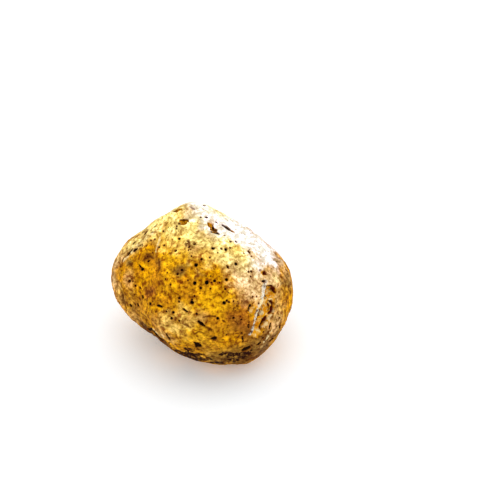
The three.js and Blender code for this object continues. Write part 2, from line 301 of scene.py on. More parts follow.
# Splits, carved and painted near-black as the shade deep inside them.
DARK_SLITS = [
    ((208.2, 226.4), (211.6, 228.6), 0.2, 0.4),
    ((212.6, 226.6), (213.8, 228.8), 0.2, 0.4),
    ((211.0, 232.0), (214.2, 233.6), 0.26, 0.3),
    ((216.4, 233.2), (218.8, 234.3), 0.4, 0.5),
    ((223.0, 225.2), (227.4, 228.2), (230.4, 230.6), 0.56, 0.7),
    ((203.4, 205.6), (205.2, 205.8), 0.35, 0.2),
    ((200.2, 217.2), (201.4, 217.4), 0.25, 0.2),
    ((205.0, 217.3), (207.4, 217.7), 0.22, 0.2),
    ((215.6, 222.0), (216.8, 223.2), 0.25, 0.2),
    ((265.2, 243.2), (267.4, 244.8), 0.35, 0.2),
    ((267.0, 241.0), (270.1, 244.2), 0.35, 0.2),
    ((198.4, 321.4), (201.2, 323.6), (204.2, 325.8), 0.5, 0.8),
    ((157.2, 305.4), (162.2, 306.9), 0.4, 0.6),
    ((126.9, 256.3), (129.6, 253.6), (131.9, 250.4), 0.65, 0.9),
    ((134.6, 251.2), (137.2, 248.6), 0.4, 0.4),
    ((135.4, 241.9), (132.9, 243.9), 0.35, 0.4),
    ((147.3, 231.5), (144.5, 234.7), 0.45, 0.4),
    ((143.9, 231.3), (143.1, 232.3), 0.5, 0.4),
    ((123.4, 259.2), (123.4, 260.4), 0.5, 0.4),
    ((120.7, 264.2), (120.7, 266.6), 0.5, 0.4),
    ((147.6, 329.4), (152.2, 329.0), (155.4, 332.4), (158.4, 336.4), 0.65, 0.5),
    ((158.4, 336.4), (163.0, 340.8), 0.55, 0.4),
    ((166.4, 334.4), (168.2, 337.2), (170.3, 340.2), 0.5, 0.6),
    ((169.1, 344.4), (171.8, 348.6), 0.5, 0.6),
    ((196.6, 344.0), (199.0, 345.2), 1.2, 0.7),
    ((194.6, 342.2), (196.2, 343.6), 0.5, 0.3),
    ((197.2, 349.2), (198.6, 349.5), 0.55, 0.5),
    ((182.9, 309.0), (187.0, 312.0), 0.32, 0.6),
    ((212.6, 338.6), (215.0, 338.8), 0.85, 0.7),
    ((243.2, 350.0), (249.0, 347.4), 0.9, 0.7),
    ((257.9, 344.4), (260.2, 342.8), 0.45, 0.5),
    ((270.2, 323.7), (269.2, 328.3), 0.4, 0.4),
    ((269.2, 341.0), (273.3, 339.0), 0.5, 0.5),
    ((280.8, 323.4), (279.4, 327.6), 0.55, 0.4),
    ((241.2, 332.8), (242.2, 333.6), 0.4, 0.3),
    ((242.2, 336.4), (243.2, 341.8), 0.3, 0.3),
    ((248.6, 324.6), (248.6, 327.6), 0.45, 0.4),
    ((250.2, 305.6), (248.4, 310.4), 0.55, 0.6),
    ((265.4, 294.2), (265.9, 296.0), 0.35, 0.5),
    ((263.4, 300.9), (263.8, 302.4), 0.35, 0.5),
    ((262.4, 281.4), (264.2, 281.0), 0.4, 0.5),
    ((128.2, 281.8), (129.8, 280.8), 0.5, 0.5),
    ((139.4, 265.3), (141.8, 268.3), 0.28, 0.4),
    ((139.6, 287.4), (141.0, 288.6), 0.4, 0.4),
    ((248.4, 251.0), (249.4, 253.0), 0.4, 0.5),
    ((227.0, 266.0), (228.2, 268.0), 0.35, 0.4),
]
# Flaking dark patches where it lay in damp earth.
SCUFFS = [
    ((177.6, 351.0), (185.5, 353.2), (193.6, 354.6), 2.0, 0.2),
    ((182.6, 354.8), (188.6, 357.6), (198.6, 359.6), 2.2, 0.2),
    ((191.4, 354.6), (198.8, 357.0), (202.4, 359.0), 1.7, 0.2),
    ((186.6, 348.8), (192.4, 350.4), 1.2, 0.2),
    ((199.0, 354.0), (203.2, 354.0), 0.7, 0.2),
    ((228.0, 356.4), (235.0, 354.2), 1.2, 0.2),
    ((231.0, 359.8), (237.0, 359.4), 1.1, 0.2),
    ((220.6, 354.2), (224.6, 353.8), 0.7, 0.2),
    ((241.0, 353.8), (249.4, 352.2), 0.9, 0.2),
    ((241.8, 356.6), (246.4, 356.4), 0.7, 0.2),
    ((206.2, 358.8), (210.8, 358.8), 0.9, 0.2),
    ((210.0, 362.4), (221.0, 362.8), 1.2, 0.1),
]
# The torn strip lies between these two lines: its pale lip, and the whole skin beyond.
TEAR = [
    (266.4, 279.0), (264.4, 284.4), (263.0, 290.6), (262.0, 295.6), (261.2, 300.6), (258.4, 305.6),
    (256.0, 311.6), (254.2, 318.0), (253.2, 323.0), (252.0, 328.0), (250.8, 332.6), (248.8, 335.6),
]
TORN_EDGE = [
    (268.4, 279.6), (273.4, 283.4), (276.4, 289.0), (276.6, 295.0), (275.8, 301.0), (275.6, 306.0),
    (273.0, 311.4), (269.8, 316.0), (268.4, 320.0), (266.6, 325.0), (262.8, 330.0), (258.6, 337.6),
]

# Pinholes: pixel and radius.
PINHOLES = [
    (179.2, 238.8, 1.3), (164.0, 245.2, 1.0), (159.3, 247.3, 1.1), (151.0, 240.5, 0.9),
    (154.9, 239.4, 0.9), (175.7, 250.8, 1.3), (194.5, 243.5, 1.3), (191.3, 256.0, 0.9),
    (196.0, 264.9, 1.9), (181.9, 269.9, 1.3), (142.6, 269.0, 1.6), (148.4, 261.0, 1.1),
    (129.0, 281.3, 1.4), (132.9, 281.3, 0.8), (135.5, 285.7, 1.1), (140.2, 287.8, 1.1),
    (167.2, 272.8, 0.8), (194.8, 283.2, 1.6), (187.8, 280.2, 0.8), (165.5, 279.0, 0.8),
    (177.5, 273.7, 1.2), (163.4, 231.2, 0.9), (201.5, 259.0, 1.1), (187.5, 241.0, 0.8),
    (189.5, 246.0, 0.9), (188.5, 250.0, 0.8), (146.8, 246.0, 0.8), (152.5, 252.6, 0.8),
    (147.0, 256.0, 0.9), (123.5, 259.6, 0.8), (120.6, 265.0, 1.0), (127.0, 248.5, 0.8),
    (142.6, 296.8, 1.7), (130.8, 305.5, 1.9), (137.9, 304.9, 1.6), (135.2, 304.3, 1.1),
    (149.9, 304.0, 1.6), (153.0, 301.5, 1.0), (153.8, 304.3, 0.8), (166.3, 311.4, 1.0),
    (173.4, 312.3, 1.4), (171.6, 318.1, 1.3), (179.0, 321.1, 1.1), (147.9, 315.2, 1.0),
    (192.2, 302.6, 1.7), (192.0, 299.5, 0.9), (194.5, 296.1, 0.9), (196.6, 314.0, 1.2),
    (179.2, 297.9, 1.1), (179.0, 301.7, 1.2), (200.7, 287.9, 1.2), (170.7, 284.7, 0.9),
    (155.5, 312.0, 0.8), (134.4, 294.7, 0.8), (197.4, 349.2, 1.1), (189.2, 349.8, 1.4),
    (213.3, 248.0, 1.7), (221.5, 248.7, 1.1), (225.7, 249.4, 1.4), (230.2, 247.8, 1.0),
    (230.5, 241.6, 1.1), (235.8, 241.8, 1.1), (248.8, 252.0, 1.2), (235.9, 264.0, 1.4),
    (227.8, 267.0, 1.1), (251.2, 271.4, 1.1), (248.5, 271.7, 0.9), (226.6, 279.5, 1.4),
    (206.8, 282.4, 1.9), (214.6, 280.7, 1.2), (209.8, 257.4, 0.8), (217.9, 252.6, 0.7),
    (250.6, 276.5, 0.9), (244.0, 253.2, 0.8), (251.5, 256.3, 0.8), (224.5, 235.5, 0.7),
    (211.5, 282.5, 0.8), (219.2, 282.5, 0.8), (224.2, 302.9, 1.6), (226.6, 300.7, 1.1),
    (228.9, 302.0, 0.9), (233.4, 301.2, 0.8), (217.7, 318.3, 1.4), (233.5, 318.2, 1.2),
    (241.3, 319.4, 1.1), (240.5, 316.6, 0.7), (226.6, 334.8, 1.1), (241.6, 333.2, 1.0),
    (243.0, 341.5, 0.9), (262.9, 337.8, 1.2), (279.0, 318.2, 1.2), (276.8, 326.5, 1.0),
    (280.5, 325.0, 0.9), (203.2, 353.8, 1.2), (207.6, 358.6, 0.9), (225.3, 289.0, 1.0),
    (210.5, 288.7, 0.9), (252.5, 297.0, 0.9), (256.4, 296.6, 0.8), (258.4, 303.2, 0.8),
    (249.0, 322.3, 0.9), (248.5, 326.0, 1.1), (242.5, 337.0, 0.8), (273.0, 313.8, 0.8),
    (263.3, 332.0, 0.9), (250.0, 355.8, 0.9), (187.0, 243.4, 0.7), (188.4, 247.2, 0.8),
    (190.6, 249.6, 0.7), (178.9, 223.6, 0.9), (176.6, 226.2, 0.8), (176.4, 228.6, 0.7),
]
HOLE_GROWTH = 1.15  # the eye reads a hole a little smaller than it is
pinholes = [(spot(x, y), HOLE_GROWTH * r / PX_PER_M) for x, y, r in PINHOLES]
print(len(pinholes), "pinholes noted on the side that shows")

# %% Pinholes that the solid already has
def pits_of_solid(obj, least_depth):
    """The middle and radius of each sharp pit: a point well below the ring round it."""
    points = rows_of(obj.data.vertices, "co")
    normals = rows_of(obj.data.vertices, "normal")
    edges = np.empty(len(obj.data.edges) * 2, int)
    obj.data.edges.foreach_get("vertices", edges)
    starts, ends = edges.reshape(-1, 2).T
    both = np.concatenate([starts, ends])
    others = np.concatenate([ends, starts])
    count = np.bincount(both, minlength=len(points))
    ring = np.zeros_like(points)
    np.add.at(ring, both, points[others])
    ring /= count[:, None]
    below = ((ring - points) * normals).sum(1)
    reach = np.linalg.norm(points[others] - ring[both], axis=1)
    radius = np.bincount(both, reach, minlength=len(points)) / count
    found = np.flatnonzero(below > least_depth)
    return [(ring[i], radius[i]) for i in found]


PIT_DEPTH = 0.4 * MM
WIDEST_PIT = 0.85 * MM  # wider ones are hollows
HOLE_IN_PIT = 0.75  # a pinhole's radius against that of the ring round its pit
SHOWS = 0.15  # how far a spot has to lean towards the camera to be on the side that shows
solid_pits = [pit for pit in pits_of_solid(guide, PIT_DEPTH) if pit[1] < WIDEST_PIT]
for middle, radius in solid_pits:
    place, way_out, _, _ = skin_tree.find_nearest(Vector(middle))
    if way_out.dot(-forward) < SHOWS:
        pinholes.append((np.array(place), HOLE_IN_PIT * radius))
print(len(solid_pits), "pits found in the solid, which makes", len(pinholes), "pinholes")
bpy.data.objects.remove(guide)

# %% [markdown]
# ## Room for the fine marks
#
# The ball's faces are 0.4 mm across, which is as wide as a small pinhole. Finer faces all over
# would make the mesh slow for no gain, so only the faces near a mark are selected and cut once
# more. To find them, the distance from each face to each mark is measured.

# %% Distances to marks
FAR = 4.0  # radii, past which a mark doesn't matter
TAPER = 0.3  # how much narrower a mark is at its ends


def from_segment(points, start, end):
    """How far each point is from a straight stretch, and how far along it, from 0 to 1."""
    ahead = end - start
    along = np.clip((points - start) @ ahead / max(ahead @ ahead, 1e-12), 0, 1)
    return np.linalg.norm(points - start - along[:, None] * ahead, axis=1), along


def from_line(points, line):
    """How far each point is from a line, to its left (negative) or right, and how far along.
    Left and right are as seen from outside, going down the line."""
    nearest = np.full(len(points), np.inf)
    side = np.ones(len(points))
    along = np.zeros(len(points))
    middle = np.array(MIDDLE)
    for i, (start, end) in enumerate(zip(line, line[1:])):
        off, t = from_segment(points, start, end)
        foot = start + t[:, None] * (end - start)
        right = np.cross(foot - middle, end - start)
        closer = off < nearest
        nearest[closer] = off[closer]
        side[closer] = np.where(((points - foot) * right).sum(1) < 0, -1, 1)[closer]
        along[closer] = (i + t[closer]) / (len(line) - 1)
    return nearest * side, along


def from_mark(points, line):
    """How far each point is from a mark's middle line. Near its ends it seems farther, so that
    marks taper."""
    off, along = from_line(points, line)
    return np.abs(off) / (1 - TAPER + TAPER * np.sin(math.pi * along))


def in_radii(points, marks):
    """How many radii each point is from the middle line of its nearest mark."""
    nearest = np.full(len(points), FAR)
    for line, radius, _ in marks:
        nearest = np.minimum(nearest, from_mark(points, line) / radius)
    return nearest


def in_hole_radii(points):
    """The same for the pinholes, which are round, with the radius of the nearest one."""
    nearest = np.full(len(points), FAR)
    radius_there = np.zeros(len(points))
    for middle, radius in pinholes:
        radii = np.linalg.norm(points - middle, axis=1) / radius
        closer = radii < nearest
        nearest[closer] = radii[closer]
        radius_there[closer] = radius
    return nearest, radius_there


def lines_of(marks):
    """Marks noted by pixels, as lines on the skin with a radius and a depth."""
    return [(route(*pixels), radius * MM, depth * MM) for *pixels, radius, depth in marks]


flesh_hollows = lines_of(FLESH_HOLLOWS)
flesh_shadow_grooves = lines_of(FLESH_SHADOW_GROOVES)
pale_ridges = lines_of(PALE_RIDGES)
brown_hollows = lines_of(BROWN_HOLLOWS)
soft_grooves = lines_of(SOFT_GROOVES)
dark_slits = lines_of(DARK_SLITS)
scuffs = lines_of(SCUFFS)
tear = route(*TEAR)
torn_edge = route(*TORN_EDGE)

# %% Cutting the faces near the marks
HOLE_REACH = 1.5  # radii
TORN_WIDTH = 7 * MM  # how far the torn strip runs to the right of the tear at most
LIP_REACH = 1.5 * MM  # how far the lip runs to its left
NEAR = 0.5 * MM

centres = rows_of(skin.data.polygons, "center")
close = in_hole_radii(centres)[0] < HOLE_REACH
for marks in (
    flesh_hollows, flesh_shadow_grooves, pale_ridges, brown_hollows, soft_grooves, dark_slits, scuffs
):
    for line, radius, _ in marks:
        close |= from_mark(centres, line) < radius + NEAR
across, _ = from_line(centres, tear)
close |= (across > -LIP_REACH) & (across < TORN_WIDTH)

only(skin)
bpy.ops.object.mode_set(mode="EDIT")
bpy.ops.mesh.select_mode(type="FACE")
bpy.ops.mesh.select_all(action="DESELECT")
bpy.ops.object.mode_set(mode="OBJECT")
skin.data.polygons.foreach_set("select", close)
bpy.ops.object.mode_set(mode="EDIT")
bpy.ops.mesh.subdivide(number_cuts=1)
bpy.ops.mesh.select_all(action="SELECT")
bpy.ops.mesh.quads_convert_to_tris()
bpy.ops.object.mode_set(mode="OBJECT")
even_out(skin, passes=1)
print("with room for the marks it has", len(skin.data.polygons), "faces")

# %% [markdown]
# ## The relief
#
# The skin of a truffle is never smooth. It is lumpy like dried mud, its sides are drawn into
# fine wrinkles that run from top to bottom, and soil and insects have pricked it. The relief
# could be left to a bump in the material, but then the outline and the shadows would stay
# smooth. So every point of the mesh is moved in or out, as a sculptor's brush would do it, and
# only what is finer than a face is left to the material.

# %% Brushes
ROUGHER = 0.8  # how fast the finer lumps on the lumps get lower
FINER = 2.1  # how much finer each next kind of lump is


def bump(x, width):
    """A soft hill of height 1 at 0."""
    return np.exp(-((x / width) ** 2))


def smooth_step(x, start, end):
    """Rises softly from 0 at start to 1 at end, or falls where end is less than start."""
    t = np.clip((x - start) / (end - start), 0, 1)
    return t * t * (3 - 2 * t)


def roughness(points, size, octaves, seed, stretch=(1, 1, 1)):
    """Smooth chance lumps of about this size, from -1 to 1. Stretch draws them out."""
    scaled = points / (size * np.array(stretch)) + seed
    lumps = [noise.fractal(Vector(p), ROUGHER, FINER, octaves) for p in scaled]
    return np.clip(np.array(lumps), -1, 1)


def ridges(points, size, octaves, seed, stretch=(1, 1, 1)):
    """Narrow ridges between wide hollows, up to 1 high."""
    return 1 - np.abs(roughness(points, size, octaves, seed, stretch)) * 2


# %% Lumps and wrinkles
SIDE_STARTS = 17 * MM  # from the middle, where the wrinkles of the sides begin
SIDE_FULL = 24 * MM

co = rows_of(skin.data.vertices, "co")
out = rows_of(skin.data.vertices, "normal")
towards_side = smooth_step(np.abs(co[:, 0]), SIDE_STARTS, SIDE_FULL)

# Heights in millimetres: low swells, then small lumps, then grains.
lumps = 0.16 * roughness(co, 3.4 * MM, octaves=3, seed=2)
lumps += 0.07 * ridges(co, 1.5 * MM, octaves=2, seed=9)
lumps += 0.045 * roughness(co, 0.75 * MM, octaves=2, seed=5)
wrinkles = 0.16 * towards_side * ridges(co, 1.1 * MM, octaves=2, seed=4, stretch=(1, 1, 5))
height = MM * (lumps + wrinkles)
print("the lumps are up to", lumps.max().round(2), "mm high")

# %% The edges of the marks
# A real mark has no even edge. These push the edges in and out, in radii of the mark.
warp = 0.38 * roughness(co, 0.9 * MM, octaves=3, seed=31)
ragged_warp = 0.32 * roughness(co, 1.1 * MM, octaves=4, seed=61)
flakes = 0.9 * roughness(co, 0.8 * MM, octaves=3, seed=71, stretch=(2.5, 1, 1))
fine = roughness(co, 0.9 * MM, octaves=3, seed=17)  # roughens the floors

brown_radii = in_radii(co, brown_hollows) + ragged_warp
flesh_radii = in_radii(co, flesh_hollows) + 0.5 * ragged_warp
flesh_shadow_radii = in_radii(co, flesh_shadow_grooves) + ragged_warp
ridge_radii = in_radii(co, pale_ridges) + ragged_warp
soft_radii = in_radii(co, soft_grooves) + ragged_warp
slit_radii = in_radii(co, dark_slits) + warp
scuff_radii = in_radii(co, scuffs) + flakes
print("points inside a slit:", int((slit_radii < 1).sum()))

# %% Hollows, slits and cracks in the skin
FLOOR, TOP = 0.5, 1.05  # radii from the middle, where a mark's wall starts and ends
RIM_AT, RIM_WIDTH = 1.25, 0.3  # radii


def carve(height, marks, warp, floor_roughness=0.2, rim=0.0):
    """Sinks each mark with an uneven wall and floor, and raises a rim of so many mm round it."""
    for line, radius, depth in marks:
        radii = from_mark(co, line) / radius + warp
        inside = 1 - smooth_step(radii, FLOOR, TOP)
        height -= depth * inside * (1 + floor_roughness * fine)
        height += rim * MM * bump(radii - RIM_AT, RIM_WIDTH)
    return height


height = carve(height, brown_hollows, ragged_warp, floor_roughness=0.3, rim=0.05)
height = carve(height, dark_slits, warp, rim=0.03)
height = carve(height, soft_grooves, ragged_warp)
height = carve(height, scuffs, flakes)
print("the deepest point is now", (-height.min() / MM).round(2), "mm below the body")

# %% The tear and the flesh in it
LIP_HEIGHT = 0.6 * MM
TORN_DEPTH = 0.45 * MM
LIP_WAVERS = 0.42 * MM
EDGE_WAVERS = 0.25 * MM
WALK = [0, 0.1, 0.3, 0.5, 1]  # places along the tear, from its top to its lower end
LIP_WIDTHS = [0.7, 1.05, 0.95, 0.55, 0.42]  # the lip's width there, in mm

across, along = from_line(co, tear)
across = across + LIP_WAVERS * roughness(co, 0.8 * MM, octaves=4, seed=12)
lip_width = np.interp(along, WALK, LIP_WIDTHS) * MM
tear_ends = smooth_step(along, 0, 0.04) * smooth_step(along, 1, 0.93)
ragged = 0.8 + 0.5 * roughness(co, 0.9 * MM, octaves=2, seed=3)
lip = bump(across, lip_width) * tear_ends * ragged
lip_paint = smooth_step(np.abs(across) / lip_width, 1.05, 0.6) * tear_ends

beyond, _ = from_line(co, torn_edge)
beyond = beyond + EDGE_WAVERS * roughness(co, 0.8 * MM, octaves=4, seed=14)
torn = smooth_step(across, 0.3 * MM, 0.8 * MM) * smooth_step(beyond, 0, -0.5 * MM)
torn *= smooth_step(across, TORN_WIDTH, 0.9 * TORN_WIDTH)
torn *= smooth_step(along, 0.03, 0.1) * smooth_step(along, 1, 0.97)

height += LIP_HEIGHT * lip
height -= TORN_DEPTH * torn * (1 + 0.6 * fine)
height = carve(height, flesh_hollows, 0.5 * ragged_warp, floor_roughness=0.5)
height = carve(height, flesh_shadow_grooves, ragged_warp)
height = carve(height, pale_ridges, ragged_warp)
print("points in the torn strip:", int((torn > 0.5).sum()))

# %% The pinholes
HOLE_FLOOR, HOLE_TOP = 0.3, 1.1  # radii from the middle, where a hole's wall starts and ends
HOLE_RIM_AT = 1.5
HOLE_ENDS = 2.2  # past its rim
HOLE_DEPTH = 1.2  # radii, and a little more
HOLE_RIM = 0.12  # radii

hole_radii, hole_size = in_hole_radii(co)
for middle, radius in pinholes:
    radii = np.linalg.norm(co - middle, axis=1) / radius + 0.6 * warp
    near = radii < HOLE_ENDS
    depth = HOLE_DEPTH * radius + 0.2 * MM
    height[near] -= depth * (1 - smooth_step(radii[near], HOLE_FLOOR, HOLE_TOP))
    height[near] += HOLE_RIM * radius * bump(radii[near] - HOLE_RIM_AT, RIM_WIDTH)

co = co + out * height[:, None]
co[:, 2] = np.maximum(co[:, 2], 0)  # nothing sinks into the table
skin.data.vertices.foreach_set("co", np.ascontiguousarray(co).ravel())
skin.data.update()
only(skin)
bpy.ops.object.shade_smooth()
lowest, highest = (height.min() / MM).round(2), (height.max() / MM).round(2)
print("the relief runs from", lowest, "to", highest, "mm")

# %% [markdown]
# ## The colours of the skin
#
# A white truffle is called white, but its skin is amber, tan, olive and cream all at once. Here it
# is also painted palest on the top and the right shoulder, partly as painted highlight, lighter
# along the left rim as painted light from the white surroundings, and darkest underneath and in
# the heel's crease as painted shade. One noise texture could mix the tints, but the patches would
# fall in chance places. Instead the tints are dabbed on to the mesh, as with a soft brush, and kept
# as a colour attribute that the material reads. The side that shows has its dabs noted by pixel.
# The other sides get chance ones of the same kinds, paler on top and darker underneath as painted
# light and shade, and a few more carry the pale shoulder over the top of the back.

# %% Tints
def linear(red, green, blue):
    """A colour given from 0 to 255, in the light values that a shader takes."""
    parts = [c / 255 for c in (red, green, blue)]
    return np.array([c / 12.92 if c < 0.04045 else ((c + 0.055) / 1.055) ** 2.4 for c in parts])


TINTS = {
    # the skin
    "amber": linear(203, 140, 0),
    "honey": linear(224, 169, 16),
    "cream": linear(253, 230, 132),
    # partly the skin's own pale, partly painted highlight where the light falls on the shoulder
    "pale": linear(243, 236, 216),
    "blush": linear(226, 190, 126),
    "tan": linear(196, 158, 92),
    "olive": linear(146, 110, 38),
    "russet": linear(160, 92, 20),
    "umber": linear(100, 62, 18),
    # painted shade in the heel's crease
    "crease shade": linear(62, 30, 8),
    # the marks
    # painted shade inside the pinholes, slits and pricks
    "hole": linear(24, 12, 5),
    "small hole shade": linear(80, 20, 8),
    "slit": linear(40, 18, 6),
    "scuff": linear(44, 14, 6),
    # painted shade in furrows and cracks, and in the low parts of the flesh
    "crack shade": linear(96, 44, 8),
    "earth": linear(96, 50, 10),
    "dust": linear(250, 228, 170),
    "flesh": linear(234, 162, 22),
    "bright flesh": linear(248, 214, 138),
    # painted shadow on the walls of the torn hollows
    "flesh shadow": linear(84, 22, 6),
    "torn edge": linear(238, 230, 212),
    "grey": linear(128, 112, 96),
}

# %% Dabs on the side that shows
# The pale and cream dabs on the top and the right shoulder are partly painted highlight, and the
# tan and cream ones along the left rim are painted light from the white surroundings. The umber,
# olive and darkest dabs along the bottom and in the heel's crease are painted shade.
# Tint, pixel, radius in millimetres and strength.
DABS = [
    ("honey", (190, 250), 8, 0.5), ("honey", (215, 305), 6, 0.5), ("honey", (168, 262), 3, 0.6),
    ("honey", (185, 325), 7, 0.6), ("honey", (192, 335), 6, 0.5), ("honey", (172, 250), 4, 0.4),
    ("honey", (168, 285), 3.5, 0.4), ("honey", (225, 285), 4, 0.4), ("honey", (146, 300), 3, 0.3),
    ("russet", (157, 264), 2.2, 0.5), ("russet", (158, 280), 2.5, 0.5),
    ("russet", (150, 292), 2.5, 0.6), ("russet", (148, 256), 2, 0.5),
    ("russet", (188, 288), 3.5, 0.35), ("russet", (168, 300), 3, 0.3),
    ("cream", (170, 228), 6, 0.8), ("cream", (186, 234), 6, 0.8), ("cream", (158, 220), 4.5, 0.9),
    ("cream", (195, 215), 5, 0.8), ("cream", (212, 243), 6, 0.9), ("cream", (180, 214), 5, 0.8),
    ("cream", (146, 232), 4, 0.8), ("cream", (232, 258), 5, 0.8), ("cream", (186, 318), 3, 0.6),
    ("amber", (222, 279), 3.6, 0.6), ("cream", (196, 240), 4, 0.5), ("honey", (184, 252), 3, 0.5),
    ("blush", (252, 284), 5.5, 0.9), ("blush", (243, 272), 4, 0.8), ("blush", (252, 268), 4, 0.8),
    ("blush", (262, 298), 2.6, 0.7), ("blush", (129, 276), 2, 0.25), ("blush", (128, 284), 2, 0.25),
    ("blush", (212, 236), 2.2, 0.5), ("cream", (226, 240), 4.5, 0.8),
    ("cream", (246, 256), 4.5, 0.8), ("pale", (204, 208), 5, 0.95), ("pale", (225, 220), 6.5, 1.0),
    ("pale", (246, 236), 6, 1.0), ("pale", (262, 250), 5.5, 1.0), ("pale", (272, 260), 3.4, 0.95),
    ("pale", (236, 230), 5, 1.0), ("pale", (256, 262), 3, 0.6), ("blush", (272, 274), 3, 0.8),
    ("pale", (216, 232), 3, 0.5), ("blush", (270, 281), 2.6, 0.8), ("cream", (276, 278), 2, 0.4),
    ("tan", (278, 292), 2.6, 0.5), ("tan", (114, 280), 3.5, 0.9), ("olive", (112, 276), 2.6, 0.3),
    ("tan", (117, 262), 3, 0.9), ("tan", (120, 298), 3, 0.5), ("cream", (122, 250), 3, 0.6),
    ("cream", (133, 244), 3.4, 0.8), ("tan", (124, 256), 2, 0.5), ("tan", (276, 325), 3.6, 0.9),
    ("tan", (264, 345), 3.6, 0.9), ("cream", (140, 232), 3.5, 0.7), ("tan", (135, 318), 4, 0.5),
    ("tan", (166, 336), 3.4, 0.6), ("tan", (276, 306), 3, 0.6), ("cream", (168, 322), 2.8, 0.35),
    ("cream", (178, 330), 2.6, 0.3), ("tan", (156, 322), 2.6, 0.3), ("olive", (220, 358), 6, 0.9),
    ("olive", (245, 354), 5, 0.9), ("olive", (190, 354), 4, 0.5), ("umber", (146, 327), 3, 0.7),
    ("crease shade", (149.6, 331), 2.6, 0.9), ("crease shade", (154, 335), 3, 0.95),
    ("crease shade", (160, 340), 2.8, 0.95), ("umber", (166, 344), 3, 0.8), ("umber", (172, 349), 3, 0.7),
    ("olive", (128.6, 262), 1.7, 1.0), ("umber", (129.6, 263), 1, 0.6),
    ("umber", (180, 271), 1.4, 0.6), ("olive", (180, 272), 2.2, 0.9),
    ("olive", (276, 261), 1.6, 0.7), ("blush", (253, 255), 1.8, 0.9), ("olive", (287, 284), 3, 0.5),
    ("russet", (240, 314), 4, 0.6), ("russet", (247, 328), 4, 0.8), ("russet", (236, 322), 4, 0.6),
    ("umber", (262, 352), 3.5, 0.8), ("umber", (280, 334), 2.5, 0.7),
    ("umber", (222, 362), 4.5, 0.5), ("umber", (190, 358), 3.5, 0.6), ("umber", (246, 350), 3, 0.5),
    ("umber", (248, 332), 2.6, 0.6), ("amber", (226, 340), 4, 0.8), ("umber", (246, 360), 4.5, 0.8),
    ("umber", (236, 327), 2.4, 0.5), ("umber", (232, 350), 2.6, 0.4), ("umber", (264, 348), 3, 0.6),
    ("umber", (274, 338), 2.6, 0.5), ("russet", (152.4, 290.2), 1.6, 0.8),
    ("olive", (136, 308), 4.2, 0.5), ("olive", (117, 284), 3, 0.35),
    ("russet", (147.6, 293.6), 1.6, 0.8), ("umber", (188, 246), 1.6, 0.5),
    ("umber", (148, 257), 1.6, 0.6), ("umber", (266, 338), 3.4, 0.62),
    ("olive", (158.6, 262), 1.2, 0.5), ("russet", (200, 232), 1.4, 0.4),
    ("pale", (230, 214), 5, 1.0), ("pale", (248, 225), 5, 1.0), ("pale", (266, 238), 5, 1.0),
    ("pale", (279, 251), 3.6, 0.9), ("pale", (212, 204), 4, 0.9), ("tan", (200, 318), 2, 0.5),
    ("russet", (212, 322), 2.6, 0.5), ("honey", (180, 215), 1.6, 0.6),
    ("honey", (187, 316), 2.6, 0.5), ("tan", (281, 262), 3, 0.7), ("tan", (286, 273), 3, 0.7),
    ("olive", (289, 280), 3, 0.5), ("honey", (167, 226), 2, 0.5), ("honey", (161, 236), 2, 0.6),
    ("honey", (164.7, 243.5), 2.4, 0.6), ("tan", (184.6, 211), 1.6, 0.5),
    ("tan", (146, 232.5), 1.6, 0.5), ("tan", (229.5, 256), 1.6, 0.4),
    ("blush", (191, 210), 2.4, 0.6), ("tan", (206, 236.5), 1.6, 0.6),
    ("umber", (143, 326), 2.6, 0.6), ("olive", (205, 345), 6, 0.25),
    ("russet", (185, 330), 7, 0.15), ("olive", (168, 330), 5, 0.2),
    ("russet", (262, 322), 2.4, 0.4), ("russet", (140, 308), 5, 0.25),
    ("tan", (200, 250), 2.2, 0.4), ("honey", (178, 240), 2.6, 0.6), ("honey", (204, 254), 2.6, 0.6),
    ("honey", (236, 250), 2, 0.4), ("olive", (128, 300), 4, 0.3), ("olive", (150, 322), 4.5, 0.3),
    ("umber", (181, 270), 1.5, 0.8),
]
DAB_RAGGED = 0.45  # how unevenly a dab's edge runs
DAB_FULL, DAB_ENDS = 0.2, 1.5  # radii, between which a dab fades out


def dab(tint_name, place, radius, strength):
    """Lays a soft, uneven dab of a tint over the colours of the mesh."""
    off = np.linalg.norm(co - place, axis=1) * (1 + DAB_RAGGED * uneven)
    weight = strength * (1 - smooth_step(off / radius, DAB_FULL, DAB_ENDS))
    colours[:] += weight[:, None] * (TINTS[tint_name] - colours)


MOTTLING = 0.55  # how far the ground colour wavers towards honey and russet

uneven = roughness(co, 3.2 * MM, octaves=4, seed=41)
mottle = roughness(co, 2.6 * MM, octaves=3, seed=51)
colours = np.tile(TINTS["amber"], (len(co), 1))
colours += (MOTTLING * np.clip(mottle, 0, 1))[:, None] * (TINTS["honey"] - colours)
colours += (MOTTLING * np.clip(-mottle, 0, 1))[:, None] * (TINTS["russet"] - colours)
for tint_name, (x, y), radius, strength in DABS:
    dab(tint_name, spot(x, y), radius * MM, strength)
print(len(DABS), "dabs laid on the side that shows")

# %% Chance dabs on the other sides
CHANCE_DABS = 240
# Places that face up get pale tints, partly as painted highlight.
LIT_UPPER_TINTS = ["pale", "cream", "honey", "tan", "blush"]
MIDDLE_TINTS = ["honey", "tan", "blush", "russet", "cream", "amber", "olive"]
# Places that face down get darker tints, as painted shade.
SHADED_LOWER_TINTS = ["olive", "olive", "russet", "tan"]
HIGH_UP = 0.35  # how steeply up or down a way points for the upper and lower tints
AWAY = 0.25  # how far a way has to point from the camera
random.seed(7)
for _ in range(CHANCE_DABS):
    way = Vector([random.gauss(0, 1) for _ in range(3)]).normalized()
    strength = random.uniform(0.3, 0.8)
    radius = random.uniform(2, 5) * MM
    tint_name = random.choice(
        LIT_UPPER_TINTS if way.z > HIGH_UP else MIDDLE_TINTS if way.z > -HIGH_UP else SHADED_LOWER_TINTS
    )
    if way.dot(forward) < AWAY:
        continue
    place = np.array(skin_tree.ray_cast(MIDDLE, way)[0])
    dab(tint_name, place, radius, strength)

